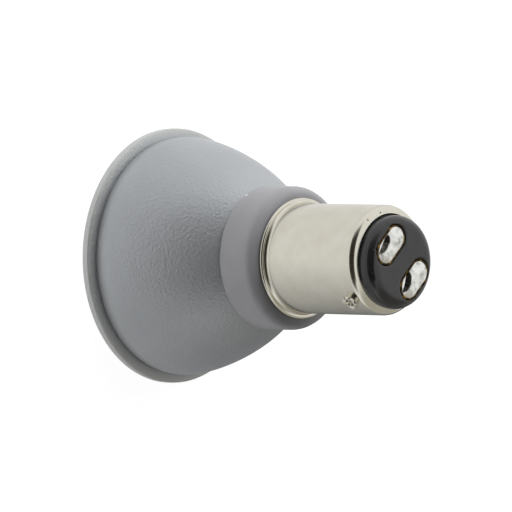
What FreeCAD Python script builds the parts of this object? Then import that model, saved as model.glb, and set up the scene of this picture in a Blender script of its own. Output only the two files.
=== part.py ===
import FreeCAD, Part
import math
import os

# Reflector bulb with a double-contact bayonet base, in millimetres.
# The origin is the centre of the front rim's plane, where the bulb stands lens down.
# +Z runs along the axis to the base, and +X runs through the bayonet pins.

# Housing: rim and outside of the bowl
rim_radius = 17.5
rim_edge = 1.1
rim_slope = 0.3
rim_step = 1.14
rim_round = 0.25
groove_width = 0.2
groove_depth = 0.5
bowl_land = 0.6
bowl_land_round = 0.45
bowl_length = 18.65
bowl_back_radius = 9.2
bowl_front_pull = 4.0
bowl_front_lean = 4.0
bowl_back_pull = 6.0
bowl_back_lean = 47.0

# Housing: inside
rim_wall = 2.2
bowl_wall = 1.5
floor_depth = 10.5
floor_thickness = 2.5
bore_wall = 1.08

# Lens plate
lens_setback = 0.4
lens_thickness = 1.4
lens_gap = 0.1
lens_edge_round = 0.2
optic_mouth_gap = 2.65
optic_end_radius = 2.7
optic_end_gap = 0.2
optic_wire_gap = 1.55
optic_bulge = 0.55
optic_well_radius = 2.0
optic_well_depth = 3.4
optic_well_crown = 0.9
optic_dish_edge = 1.0
optic_dish_depth = 0.35
leg_edge = 1.75
leg_radius = 0.9
peg_radius = 0.55
peg_length = 1.0
peg_gap = 0.1

# LED board and what is on it
led_count = 3
led_board_gap = 0.6
led_board_thickness = 1.5
led_base_side = 3.4
led_base_height = 0.6
led_dome_radius = 1.3
pad_setback = 0.5
pad_thickness = 0.3

# Board screws, between the LEDs
board_screw_radius = 0.9
board_screw_gap = 0.15
board_screw_head_radius = 1.6
board_screw_leg_gap = 0.4
board_screw_head_height = 1.1
board_screw_bite = 1.8
screw_slot_width = 0.35
screw_slot_depth = 0.5

# Collar
collar_step = 0.6
collar_length = 5.8
collar_front_round = 0.15
collar_back_round = 1.4
collar_fit = 0.1
collar_wall = 0.8
collar_tail_gap = 0.25
boss_ring_radius = 5.8
boss_radius = 1.8
boss_length = 6.5

# Collar screws
collar_screw_radius = 0.9
collar_screw_gap = 0.15
collar_screw_head_radius = 1.8
collar_screw_bite = 5.2

# Base shell
shell_radius = 7.5
shell_wall = 0.3
shell_fit = 0.1
shell_length = 16.45
shell_end_round = 0.95
shell_end_turn = 1.17
bead_step = 0.75
bead_height = 0.65
bead_neck = 0.3

# Bayonet pins
pin_radius = 1.0
pin_step = 1.05
pin_from_end = 1.7
pin_stagger = 3.0
pin_dimple_radius = 0.45
pin_dimple_depth = 0.6
pin_tip_round = 0.15
pin_head_step = 0.3
pin_head_height = 0.5

# Glass insulator
glass_inside = 3.35
glass_outside = 2.65
glass_edge_round = 2.05

# Contacts
contact_length = 6.3
contact_width = 3.6
contact_edge = 1.23
contact_depth = 1.1
contact_wall = 0.25
contact_proud = 0.05
solder_height = 0.3
solder_round = 0.35

# Driver board and what is on it
driver_board_thickness = 1.0
driver_board_grip = 0.3
driver_board_gap = 0.05
driver_board_end_gap = 0.6
first_part_from_front = 3.5
part_gap = 0.45
resistor_length = 1.6
resistor_width = 3.2
resistor_height = 0.6
chip_length = 4.9
chip_width = 3.9
chip_height = 1.5
rectifier_length = 3.9
rectifier_width = 4.7
rectifier_height = 1.6
input_cap_length = 3.2
input_cap_width = 2.5
input_cap_height = 1.9
inductor_radius = 2.6
inductor_flange = 0.7
inductor_groove = 0.5
inductor_gap = 1.4
smoother_length = 5.8
smoother_gap = 1.0
smoother_crimp_radius = 0.15
smoother_crimp_from_end = 1.1

# Wires
contact_wire_radius = 0.35
contact_wire_gap = 0.1
contact_wire_bend = 1.2
contact_wire_from_back = 0.8
led_wire_radius = 0.45
led_wire_bend = 0.9
led_wire_from_front = 2.4
led_wire_lead = 0.5
led_wire_gap = 0.05

# Levels along the axis that the pieces share
bowl_front_radius = rim_radius - rim_step
groove_radius = bowl_front_radius - groove_depth
groove_front = rim_edge + rim_slope
groove_back = groove_front + groove_width
bowl_front = groove_back + bowl_land
lens_pocket_radius = rim_radius - rim_wall
lens_back = lens_setback + lens_thickness
led_board_back = floor_depth - pad_thickness
led_board_front = led_board_back - led_board_thickness
optic_end = led_board_front - led_base_height - optic_end_gap
floor_back = floor_depth + floor_thickness
bore_radius = bowl_back_radius - bore_wall
collar_radius = bowl_back_radius + collar_step
collar_back = bowl_length + collar_length
shell_inner_radius = shell_radius - shell_wall
tail_radius = shell_inner_radius - shell_fit
collar_bore_radius = tail_radius - collar_wall
shell_end = collar_back + shell_length
pin_level = shell_end - pin_from_end
low_pin_level = pin_level - pin_stagger
collar_tail_end = low_pin_level - pin_radius - pin_head_step - collar_tail_gap
glass_back = shell_end - glass_inside
glass_neck_radius = shell_radius - shell_end_turn
glass_face = shell_end + glass_outside
contact_floor = glass_face - contact_depth
contact_offset = glass_neck_radius - contact_edge - contact_width / 2
driver_board_front = floor_back + driver_board_end_gap
driver_board_back = glass_back - driver_board_end_gap
driver_board_half = driver_board_thickness / 2
driver_board_reach = collar_bore_radius + driver_board_grip
smoother_radius = (collar_bore_radius - smoother_gap - driver_board_half) / 2
inductor_room = collar_bore_radius - inductor_gap
inductor_height = math.sqrt(inductor_room ** 2 - inductor_radius ** 2) - driver_board_half
wire_hole_radius = driver_board_half + 2 * led_wire_bend + led_wire_gap

AXIS = FreeCAD.Vector(0, 0, 1)
ORIGIN = FreeCAD.Vector(0, 0, 0)


def save(node, shape):
    shape.exportStep("parts/" + node + ".step")


def at(radius, level):
    return FreeCAD.Vector(radius, 0, level)


def outline(*corners):
    """Edges through corners of (radius, level) or (radius, level, rounding)."""
    edges = []
    start = at(corners[0][0], corners[0][1])
    for before, corner, after in zip(corners, corners[1:], corners[2:]):
        point = at(corner[0], corner[1])
        if len(corner) == 2:
            edges.append(Part.LineSegment(start, point).toShape())
            start = point
            continue
        back = (at(before[0], before[1]) - point).normalize()
        ahead = (at(after[0], after[1]) - point).normalize()
        half = back.getAngle(ahead) / 2
        reach = corner[2] / math.tan(half)
        middle = (back + ahead).normalize() * (corner[2] / math.sin(half) - corner[2])
        edges.append(Part.LineSegment(start, point + back * reach).toShape())
        edges.append(Part.Arc(point + back * reach, point + middle, point + ahead * reach).toShape())
        start = point + ahead * reach
    edges.append(Part.LineSegment(start, at(corners[-1][0], corners[-1][1])).toShape())
    return edges


def turned(edges):
    """Solid of revolution of a closed outline about the bulb's axis."""
    face = Part.Face(Part.Wire(Part.__sortEdges__(edges)))
    return face.revolve(ORIGIN, AXIS, 360)


def lathe(*corners):
    return turned(outline(*corners, corners[0][:2]))


def disc(radius, low, high, x=0, y=0):
    return Part.makeCylinder(radius, high - low, FreeCAD.Vector(x, y, low))


def around(count, radius, first_angle):
    """Places on a ring, evenly spaced, as (x, y)."""
    places = []
    for index in range(count):
        angle = math.radians(first_angle + 360 * index / count)
        places.append((radius * math.cos(angle), radius * math.sin(angle)))
    return places


def oblong(length, width, low, high, y):
    """Prism with round ends, long along X."""
    straight = length - width
    middle = Part.makeBox(straight, width, high - low, FreeCAD.Vector(-straight / 2, y - width / 2, low))
    left = disc(width / 2, low, high, -straight / 2, y)
    right = disc(width / 2, low, high, straight / 2, y)
    return middle.multiFuse([left, right]).removeSplitter()


def one_solid(shape):
    return shape.removeSplitter().Solids[0]


# The bowl's outside is one smooth curve that steepens towards the collar
bowl_start = at(bowl_front_radius, bowl_front)
bowl_end = at(bowl_back_radius, bowl_length)
front_lean = math.radians(bowl_front_lean)
back_lean = math.radians(bowl_back_lean)
bowl_curve = Part.BezierCurve()
bowl_curve.setPoles([
    bowl_start,
    bowl_start + at(-math.sin(front_lean), math.cos(front_lean)) * bowl_front_pull,
    bowl_end - at(-math.sin(back_lean), math.cos(back_lean)) * bowl_back_pull,
    bowl_end,
])


def bowl_radius(level):
    low = 0.0
    high = 1.0
    while high - low > 1e-6:
        middle = (low + high) / 2
        if bowl_curve.value(middle).z < level:
            low = middle
        else:
            high = middle
    return bowl_curve.value(low).x


# Rings inside the housing, from its wall inwards, and the places on them
chamber_front_radius = bowl_front_radius - bowl_wall
chamber_back_radius = bowl_radius(floor_depth) - bowl_wall
led_board_radius = chamber_back_radius - led_board_gap
leg_ring_radius = led_board_radius - leg_edge
board_screw_ring_radius = leg_ring_radius - leg_radius - board_screw_leg_gap - board_screw_head_radius
optic_ring_radius = wire_hole_radius + optic_wire_gap + optic_end_radius
optic_mouth_radius = chamber_front_radius - optic_mouth_gap - optic_ring_radius
optic_dish_radius = optic_mouth_radius - optic_dish_edge
led_places = around(led_count, optic_ring_radius, 0)
leg_places = around(led_count, leg_ring_radius, 180 / led_count)
board_screw_places = around(led_count, board_screw_ring_radius, 180 / led_count)
collar_screw_places = around(2, boss_ring_radius, 90)


# Housing, one casting: rim, bowl, lens pocket, LED chamber, floor and rear bore
def reflector_housing():
    outside = outline(
        (bore_radius, bowl_length),
        (bore_radius, floor_back),
        (0, floor_back),
        (0, floor_depth),
        (chamber_back_radius, floor_depth, 0.5),
        (chamber_front_radius, lens_back),
        (lens_pocket_radius, lens_back),
        (lens_pocket_radius, 0),
        (rim_radius, 0, rim_round),
        (rim_radius, rim_edge, rim_round),
        (groove_radius, groove_front),
        (groove_radius, groove_back),
        (bowl_front_radius, groove_back, bowl_land_round),
        (bowl_front_radius, bowl_front),
    )
    back = Part.LineSegment(bowl_end, at(bore_radius, bowl_length)).toShape()
    body = turned(outside + [bowl_curve.toShape(), back])
    cuts = [disc(wire_hole_radius, floor_depth, floor_back)]
    for x, y in board_screw_places:
        cuts.append(disc(board_screw_radius, floor_depth, floor_depth + board_screw_bite, x, y))
    for x, y in collar_screw_places:
        hole = collar_screw_radius + collar_screw_gap
        sink = collar_screw_head_radius - collar_screw_radius
        cuts.append(disc(hole, floor_depth, floor_back, x, y))
        cuts.append(Part.makeCone(
            collar_screw_head_radius + collar_screw_gap,
            hole,
            sink,
            FreeCAD.Vector(x, y, floor_depth),
        ))
    return one_solid(body.cut(cuts))


# Lens plate, one moulding: plate, three collimators with LED wells, and three legs with pegs
def collimator():
    depth = optic_end - lens_back
    flank_middle = at(
        (optic_mouth_radius + optic_end_radius) / 2 + optic_bulge,
        lens_back + depth / 2,
    )
    flank = Part.Arc(at(optic_mouth_radius, lens_back), flank_middle, at(optic_end_radius, optic_end))
    well_edge = optic_end - optic_well_depth
    crown_sphere = (optic_well_radius ** 2 + optic_well_crown ** 2) / (2 * optic_well_crown)
    crown_centre = well_edge + optic_well_crown - crown_sphere
    crown_angle = math.asin(optic_well_radius / crown_sphere) / 2
    crown = Part.Arc(
        at(optic_well_radius, well_edge),
        at(crown_sphere * math.sin(crown_angle), crown_centre + crown_sphere * math.cos(crown_angle)),
        at(0, well_edge + optic_well_crown),
    )
    inside = outline(
        (optic_end_radius, optic_end),
        (optic_well_radius, optic_end),
        (optic_well_radius, well_edge),
    )
    root = lens_setback + lens_thickness / 2
    core = outline(
        (0, well_edge + optic_well_crown),
        (0, root),
        (optic_mouth_radius, root),
        (optic_mouth_radius, lens_back),
    )
    return turned([flank.toShape(), crown.toShape()] + inside + core)


def lens_plate():
    radius = lens_pocket_radius - lens_gap
    plate = lathe(
        (0, lens_setback),
        (radius, lens_setback, lens_edge_round),
        (radius, lens_back),
        (0, lens_back),
    )
    optic = collimator()
    for x, y in led_places:
        plate = plate.cut(disc(optic_dish_radius, lens_setback, lens_setback + optic_dish_depth, x, y))
        plate = plate.fuse(optic.translated(FreeCAD.Vector(x, y, 0)))
    for x, y in leg_places:
        plate = plate.fuse(disc(leg_radius, lens_back, led_board_front, x, y))
        plate = plate.fuse(disc(peg_radius, led_board_front, led_board_front + peg_length, x, y))
    return one_solid(plate)


# LED board, round, with its wire hole, screw holes and peg holes
def led_board():
    board = disc(led_board_radius, led_board_front, led_board_back)
    cuts = [disc(wire_hole_radius, led_board_front, led_board_back)]
    for x, y in board_screw_places:
        cuts.append(disc(board_screw_radius + board_screw_gap, led_board_front, led_board_back, x, y))
    for x, y in leg_places:
        cuts.append(disc(peg_radius + peg_gap, led_board_front, led_board_back, x, y))
    return one_solid(board.cut(cuts))


# LED: square base with a moulded dome that looks into the lens
def led(x, y):
    half = led_base_side / 2
    dome_level = led_board_front - led_base_height
    base = Part.makeBox(
        led_base_side,
        led_base_side,
        led_base_height,
        FreeCAD.Vector(x - half, y - half, dome_level),
    )
    dome = Part.makeSphere(led_dome_radius, FreeCAD.Vector(x, y, dome_level))
    above = disc(2 * led_dome_radius, dome_level - 2 * led_dome_radius, dome_level, x, y)
    return one_solid(base.fuse(dome.common(above)))


# Thermal pad between the LED board and the floor
def thermal_pad():
    pad = disc(led_board_radius - pad_setback, led_board_back, floor_depth)
    cuts = [disc(wire_hole_radius, led_board_back, floor_depth)]
    for x, y in board_screw_places:
        cuts.append(disc(board_screw_radius + board_screw_gap, led_board_back, floor_depth, x, y))
    return one_solid(pad.cut(cuts))


# Cross slot of a screw head, cut from its front level towards the shank
def cross_slot(x, y, level, reach):
    wide = Part.makeBox(
        2 * reach,
        screw_slot_width,
        screw_slot_depth,
        FreeCAD.Vector(x - reach, y - screw_slot_width / 2, level),
    )
    tall = wide.copy()
    tall.rotate(FreeCAD.Vector(x, y, level), AXIS, 90)
    return wide.fuse(tall)


# Pan-head screws that hold the LED board down on the floor
def board_screws():
    screws = []
    head_front = led_board_front - board_screw_head_height
    for x, y in board_screw_places:
        head = disc(board_screw_head_radius, head_front, led_board_front, x, y)
        shank = disc(board_screw_radius, led_board_front, floor_depth + board_screw_bite, x, y)
        slot = cross_slot(x, y, head_front, board_screw_head_radius * 0.6)
        screws.append(one_solid(head.fuse(shank).cut(slot)))
    return Part.makeCompound(screws)


# Countersunk screws that hold the collar to the housing's floor
def collar_screws():
    screws = []
    head_height = collar_screw_head_radius - collar_screw_radius
    for x, y in collar_screw_places:
        head = Part.makeCone(
            collar_screw_head_radius,
            collar_screw_radius,
            head_height,
            FreeCAD.Vector(x, y, floor_depth),
        )
        shank = disc(collar_screw_radius, floor_depth + head_height, floor_back + collar_screw_bite, x, y)
        slot = cross_slot(x, y, floor_depth, collar_screw_head_radius * 0.6)
        screws.append(one_solid(head.fuse(shank).cut(slot)))
    return Part.makeCompound(screws)


# Collar, one moulding: spigot in the housing, visible ring, and tail inside the base shell
def collar():
    spigot_radius = bore_radius - collar_fit
    spigot_front = floor_back + collar_fit
    body = lathe(
        (collar_bore_radius, spigot_front),
        (spigot_radius, spigot_front),
        (spigot_radius, bowl_length),
        (collar_radius, bowl_length, collar_front_round),
        (collar_radius, collar_back, collar_back_round),
        (tail_radius, collar_back),
        (tail_radius, collar_tail_end),
        (collar_bore_radius, collar_tail_end),
    )
    inside_spigot = disc(spigot_radius, spigot_front, spigot_front + boss_length)
    bosses = []
    holes = []
    for x, y in collar_screw_places:
        boss = disc(boss_radius, spigot_front, spigot_front + boss_length, x, y)
        bosses.append(boss.common(inside_spigot))
        holes.append(disc(collar_screw_radius, spigot_front, floor_back + collar_screw_bite, x, y))
    reach = driver_board_reach + driver_board_gap
    width = driver_board_thickness + 2 * driver_board_gap
    groove = Part.makeBox(
        2 * reach,
        width,
        collar_tail_end - spigot_front,
        FreeCAD.Vector(-reach, -width / 2, spigot_front),
    )
    return one_solid(body.multiFuse(bosses).cut(holes + [groove]))


# Base shell, drawn from sheet brass: bead at the mouth, pin holes, end turned in over the glass
def shell_cavity():
    """The room inside the shell, from its mouth to the hole that the glass fills."""
    inner_round = shell_end_round - shell_wall
    return lathe(
        (0, collar_back),
        (shell_inner_radius, collar_back),
        (shell_inner_radius, shell_end - shell_wall, inner_round),
        (glass_neck_radius, shell_end - shell_wall),
        (glass_neck_radius, shell_end),
        (0, shell_end),
    )


def pin_bar(side, radius, start, end):
    """Round bar along X at the level of the pin on the side +1, or of the lower one on the side -1."""
    level = pin_level if side > 0 else low_pin_level
    return Part.makeCylinder(
        radius,
        end - start,
        FreeCAD.Vector(side * start, 0, level),
        FreeCAD.Vector(side, 0, 0),
    )


def base_shell():
    lip_round = bead_height / 2 - 0.001
    bead_radius = shell_radius + bead_step
    outside = lathe(
        (0, collar_back),
        (bead_radius, collar_back, lip_round),
        (bead_radius, collar_back + bead_height, lip_round),
        (shell_radius, collar_back + bead_height, bead_neck),
        (shell_radius, shell_end, shell_end_round),
        (0, shell_end),
    )
    holes = []
    for side in (1, -1):
        holes.append(pin_bar(side, pin_radius, shell_inner_radius / 2, shell_radius + pin_step))
    return one_solid(outside.cut([shell_cavity()] + holes))


# Bayonet pin: round pin with a dimpled tip, and a head against the inside of the shell
def bayonet_pin(side):
    tip = shell_radius + pin_step
    head_start = shell_inner_radius - pin_head_height
    pin = pin_bar(side, pin_radius, head_start, tip)
    rim = []
    for edge in pin.Edges:
        if abs(edge.BoundBox.XMin - side * tip) < 1e-3 and abs(edge.BoundBox.XMax - side * tip) < 1e-3:
            rim.append(edge)
    pin = pin.makeFillet(pin_tip_round, rim)
    head = pin_bar(side, pin_radius + pin_head_step, head_start, shell_inner_radius)
    dimple = pin_bar(side, pin_dimple_radius, tip - pin_dimple_depth, tip)
    return one_solid(pin.fuse(head.common(shell_cavity())).cut(dimple))


# Glass insulator, moulded into the end of the shell round the pin heads
def glass_body():
    knob = lathe(
        (0, shell_end),
        (glass_neck_radius, shell_end),
        (glass_neck_radius, glass_face, glass_edge_round),
        (0, glass_face),
    )
    root = shell_cavity().common(disc(shell_radius, glass_back, shell_end))
    return root.fuse(knob)


def base_insulator():
    cuts = []
    for side in (1, -1):
        head_start = shell_inner_radius - pin_head_height
        cuts.append(pin_bar(side, pin_radius + pin_head_step, head_start, shell_radius))
        y = side * contact_offset
        cuts.append(oblong(contact_length, contact_width, contact_floor, glass_face + 1, y))
        cuts.append(disc(contact_wire_radius + contact_wire_gap, glass_back, contact_floor, 0, y))
    return one_solid(glass_body().cut(cuts))


# Contact cup, pressed from brass, and the solder that fills it
def contact_plate(side):
    y = side * contact_offset
    top = glass_face + contact_proud
    cup = oblong(contact_length, contact_width, contact_floor, top, y)
    inside = oblong(
        contact_length - 2 * contact_wall,
        contact_width - 2 * contact_wall,
        contact_floor + contact_wall,
        top,
        y,
    )
    hole = disc(contact_wire_radius, contact_floor, contact_floor + contact_wall, 0, y)
    return one_solid(cup.cut([inside, hole]))


def contact_solder(side):
    y = side * contact_offset
    top = glass_face + solder_height
    blob = oblong(
        contact_length - 2 * contact_wall,
        contact_width - 2 * contact_wall,
        contact_floor + contact_wall,
        top,
        y,
    )
    rim = []
    for edge in blob.Edges:
        if edge.BoundBox.ZMin > top - 1e-3:
            rim.append(edge)
    return one_solid(blob.makeFillet(solder_round, rim))


# Driver board, upright in two grooves of the collar
def driver_board():
    board = Part.makeBox(
        2 * driver_board_reach,
        driver_board_thickness,
        driver_board_back - driver_board_front,
        FreeCAD.Vector(-driver_board_reach, -driver_board_half, driver_board_front),
    )
    uprights = []
    for edge in board.Edges:
        if edge.BoundBox.YLength > driver_board_half:
            uprights.append(edge)
    return one_solid(board.makeChamfer(driver_board_thickness / 2, uprights))


# Parts stand in a row on each face of the board, from its front end to its back end
first_part = driver_board_front + first_part_from_front
chip_start = first_part + resistor_length + part_gap
rectifier_start = chip_start + chip_length + part_gap
inductor_start = first_part + input_cap_length + part_gap
smoother_start = inductor_start + 2 * inductor_radius + part_gap


def on_board(side, width, height, length, start):
    """Box on the driver board: width along X, height off the board, length along Z."""
    low_y = driver_board_half if side > 0 else -driver_board_half - height
    return Part.makeBox(width, height, length, FreeCAD.Vector(-width / 2, low_y, start))


def sense_resistor():
    return on_board(-1, resistor_width, resistor_height, resistor_length, first_part)


def driver_chip():
    return on_board(-1, chip_width, chip_height, chip_length, chip_start)


def bridge_rectifier():
    return on_board(-1, rectifier_width, rectifier_height, rectifier_length, rectifier_start)


def input_capacitor():
    return on_board(1, input_cap_width, input_cap_height, input_cap_length, first_part)


def power_inductor():
    """Drum core that stands on the board, with two flanges and a wound waist."""
    waist = inductor_height - 2 * inductor_flange
    outer = Part.makeCylinder(inductor_radius, waist, at(0, inductor_flange))
    inner = Part.makeCylinder(inductor_radius - inductor_groove, waist, at(0, inductor_flange))
    drum = Part.makeCylinder(inductor_radius, inductor_height).cut(outer.cut(inner))
    drum.rotate(ORIGIN, FreeCAD.Vector(1, 0, 0), -90)
    drum.translate(FreeCAD.Vector(0, driver_board_half, inductor_start + inductor_radius))
    return one_solid(drum)


def smoothing_capacitor():
    """Round can that lies on the board, with a crimp near one end."""
    y = driver_board_half + smoother_radius
    can = disc(smoother_radius, smoother_start, smoother_start + smoother_length, 0, y)
    crimp = Part.makeTorus(smoother_radius, smoother_crimp_radius)
    crimp.translate(FreeCAD.Vector(0, y, smoother_start + smoother_crimp_from_end))
    return one_solid(can.cut(crimp))


# Wires: a round section swept along straight runs joined by quarter bends in the plane X = 0
def swept(points_and_middles, radius):
    edges = []
    for item in points_and_middles:
        if len(item) == 2:
            edges.append(Part.LineSegment(*item).toShape())
        else:
            edges.append(Part.Arc(*item).toShape())
    path = Part.Wire(edges)
    start = edges[0].valueAt(edges[0].FirstParameter)
    direction = edges[0].tangentAt(edges[0].FirstParameter)
    ring = Part.Wire(Part.makeCircle(radius, start, direction))
    return path.makePipeShell([ring], True, False)


def bend(centre_y, centre_z, radius, from_angle, to_angle):
    """Quarter bend in the plane X = 0, as its start, middle and end."""
    points = []
    for angle in (from_angle, (from_angle + to_angle) / 2, to_angle):
        turn = math.radians(angle)
        y = centre_y + radius * math.cos(turn)
        z = centre_z + radius * math.sin(turn)
        points.append(FreeCAD.Vector(0, y, z))
    return points


def contact_wire(side):
    """From the contact cup straight down through the glass, then across to the driver board."""
    y = contact_offset
    landing = driver_board_back - contact_wire_from_back - contact_wire_radius
    turn = bend(y - contact_wire_bend, landing + contact_wire_bend, contact_wire_bend, 0, -90)
    top = FreeCAD.Vector(0, y, contact_floor + contact_wall)
    board = FreeCAD.Vector(0, driver_board_half, landing)
    wire = swept([(top, turn[0]), turn, (turn[2], board)], contact_wire_radius)
    if side < 0:
        wire.rotate(ORIGIN, AXIS, 180)
    return wire


def led_wire(side):
    """From the driver board through the floor, then over the front of the LED board."""
    start_level = driver_board_front + led_wire_from_front
    run_y = driver_board_half + led_wire_bend
    first = bend(driver_board_half, start_level - led_wire_bend, led_wire_bend, 90, 0)
    front_level = led_board_front - led_wire_radius
    last = bend(run_y + led_wire_bend, front_level + led_wire_bend, led_wire_bend, 180, 270)
    tip = last[2] + FreeCAD.Vector(0, led_wire_lead, 0)
    wire = swept([first, (first[2], last[0]), last, (last[2], tip)], led_wire_radius)
    if side < 0:
        wire.rotate(ORIGIN, AXIS, 180)
    return wire


os.makedirs("parts", exist_ok=True)
save("reflector_housing", reflector_housing())
save("lens_plate", lens_plate())
save("led_board", led_board())
for number, (x, y) in enumerate(led_places, 1):
    save("led_" + str(number), led(x, y))
save("thermal_pad", thermal_pad())
save("board_screws", board_screws())
save("collar_screws", collar_screws())
save("collar", collar())
save("base_shell", base_shell())
save("base_insulator", base_insulator())
for number, side in enumerate((1, -1), 1):
    save("bayonet_pin_" + str(number), bayonet_pin(side))
    save("contact_plate_" + str(number), contact_plate(side))
    save("contact_solder_" + str(number), contact_solder(side))
    save("contact_wire_" + str(number), contact_wire(side))
save("driver_board", driver_board())
save("sense_resistor", sense_resistor())
save("driver_chip", driver_chip())
save("bridge_rectifier", bridge_rectifier())
save("input_capacitor", input_capacitor())
save("power_inductor", power_inductor())
save("smoothing_capacitor", smoothing_capacitor())
save("led_wire_red", led_wire(1))
save("led_wire_black", led_wire(-1))
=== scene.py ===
import math
import random

import bmesh
import bpy
from mathutils import Matrix, Vector


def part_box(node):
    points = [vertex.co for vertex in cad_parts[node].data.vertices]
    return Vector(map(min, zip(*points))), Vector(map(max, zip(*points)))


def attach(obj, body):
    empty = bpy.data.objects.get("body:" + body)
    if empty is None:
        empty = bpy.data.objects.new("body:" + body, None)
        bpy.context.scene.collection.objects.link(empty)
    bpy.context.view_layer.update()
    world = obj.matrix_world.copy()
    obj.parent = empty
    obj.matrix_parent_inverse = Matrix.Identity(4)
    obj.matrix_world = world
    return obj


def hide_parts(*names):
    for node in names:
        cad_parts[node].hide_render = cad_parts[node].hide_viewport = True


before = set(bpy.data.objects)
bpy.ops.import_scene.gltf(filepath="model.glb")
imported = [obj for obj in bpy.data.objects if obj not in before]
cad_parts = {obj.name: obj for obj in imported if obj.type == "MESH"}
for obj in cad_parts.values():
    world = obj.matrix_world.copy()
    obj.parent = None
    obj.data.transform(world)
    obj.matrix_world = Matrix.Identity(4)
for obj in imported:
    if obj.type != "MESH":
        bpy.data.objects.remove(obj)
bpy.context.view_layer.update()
MM = 0.001


# Camera
# A long lens far behind the bulb, as a product photograph has it. The bulb stands on its rim, and the
# camera is rolled so that the bulb's axis runs to the right of the picture and a little down.
IMAGE_SIDE_PX = 512
PIXELS_PER_METRE = 7264.6
RIM_CENTRE_PX = (170.77, 255.45)
VIEW_DISTANCE = 1500 * MM
AXIS_TILT = math.radians(43.48)
AXIS_ROLL = math.radians(1.23)
PIN_TURN = math.radians(-45.9)

axis_up = Vector((0, 0, 1))
towards_camera = Vector((math.cos(PIN_TURN), math.sin(PIN_TURN), 0))
level_right = axis_up * math.cos(AXIS_TILT) - towards_camera * math.sin(AXIS_TILT)
view_back = axis_up * math.sin(AXIS_TILT) + towards_camera * math.cos(AXIS_TILT)
level_up = view_back.cross(level_right)
view_right = level_right * math.cos(AXIS_ROLL) + level_up * math.sin(AXIS_ROLL)
view_up = level_up * math.cos(AXIS_ROLL) - level_right * math.sin(AXIS_ROLL)

camera_data = bpy.data.cameras.new("photo_camera")
camera = bpy.data.objects.new("photo_camera", camera_data)
bpy.context.scene.collection.objects.link(camera)
bpy.context.scene.camera = camera
camera_data.sensor_width = 36
camera_data.lens = PIXELS_PER_METRE * VIEW_DISTANCE / IMAGE_SIDE_PX * camera_data.sensor_width
camera_data.clip_start = 0.1
camera_data.clip_end = 20
half_side = IMAGE_SIDE_PX / 2
side_shift = (half_side - RIM_CENTRE_PX[0]) / PIXELS_PER_METRE
height_shift = (RIM_CENTRE_PX[1] - half_side) / PIXELS_PER_METRE
turn = Matrix((view_right, view_up, view_back)).transposed().to_4x4()
place = view_right * side_shift + view_up * height_shift + view_back * VIEW_DISTANCE
camera.matrix_world = Matrix.Translation(place) @ turn
bpy.context.scene.view_settings.view_transform = "Standard"


# Studio
# A pale lit table under a dim white surround, and two large soft boxes beyond the picture's top edge.
# A dark card in front of the camera, a shaded one on the table and a grey one below the bulb in the
# picture are there for the metal to mirror.
SURROUND_GLOW = 0.1
TABLE_GLOW = 1.0
TABLE_SEEN_GLOW = 0.94
TABLE_SHADE = 0.9
TABLE_SEEN_SHADE = 0.2
TABLE_SIDE = 8.0
KEY_RADIANCE = 3.6
FILL_RADIANCE = 0.45
KEY_PLACE = (math.radians(-30), math.radians(30))
FILL_PLACE = (math.radians(60), math.radians(30))
LIGHT_DISTANCE = 550 * MM
SOFT_BOX_SIDE = 700 * MM


def linear(hex_colour):
    """Linear RGBA of an sRGB hex colour such as "#8c8f92"."""
    channels = [int(hex_colour[i:i + 2], 16) / 255 for i in (1, 3, 5)]
    return [c / 12.92 if c <= 0.04045 else ((c + 0.055) / 1.055) ** 2.4 for c in channels] + [1]


def wire(tree, kind, inputs=None, steps=(), **settings):
    """Adds a node with its settings and colour steps, and fills or links its inputs."""
    made = tree.nodes.new(kind)
    for name, value in settings.items():
        setattr(made, name, value)
    for name, value in (inputs or {}).items():
        if isinstance(value, bpy.types.NodeSocket):
            tree.links.new(value, made.inputs[name])
        else:
            made.inputs[name].default_value = value
    while steps and len(made.color_ramp.elements) < len(steps):
        made.color_ramp.elements.new(1.0)
    for element, (position, hex_colour) in zip(made.color_ramp.elements if steps else (), steps):
        element.position = position
        element.color = linear(hex_colour)
    return made


def blank_material(name):
    made = bpy.data.materials.new(name)
    made.use_nodes = True
    made.node_tree.nodes.clear()
    return made, made.node_tree


def seen_directly(tree):
    """1 for rays that look at a surface: from the camera, off a gloss or through glass."""
    rays = wire(tree, "ShaderNodeLightPath")
    seen = rays.outputs["Is Camera Ray"]
    for kind in ("Is Glossy Ray", "Is Transmission Ray"):
        seen = wire(tree, "ShaderNodeMath", {0: seen, 1: rays.outputs[kind]}, operation="MAXIMUM").outputs[0]
    return seen


world = bpy.data.worlds.new("white_surround")
bpy.context.scene.world = world
world.use_nodes = True
world.node_tree.nodes.clear()
bright = wire(world.node_tree, "ShaderNodeMapRange",
              {"Value": seen_directly(world.node_tree), "To Min": SURROUND_GLOW, "To Max": 1.0})
surround = wire(world.node_tree, "ShaderNodeBackground",
                {"Color": (1, 1, 1, 1), "Strength": bright.outputs[0]})
wire(world.node_tree, "ShaderNodeOutputWorld", {"Surface": surround.outputs[0]})

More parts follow.
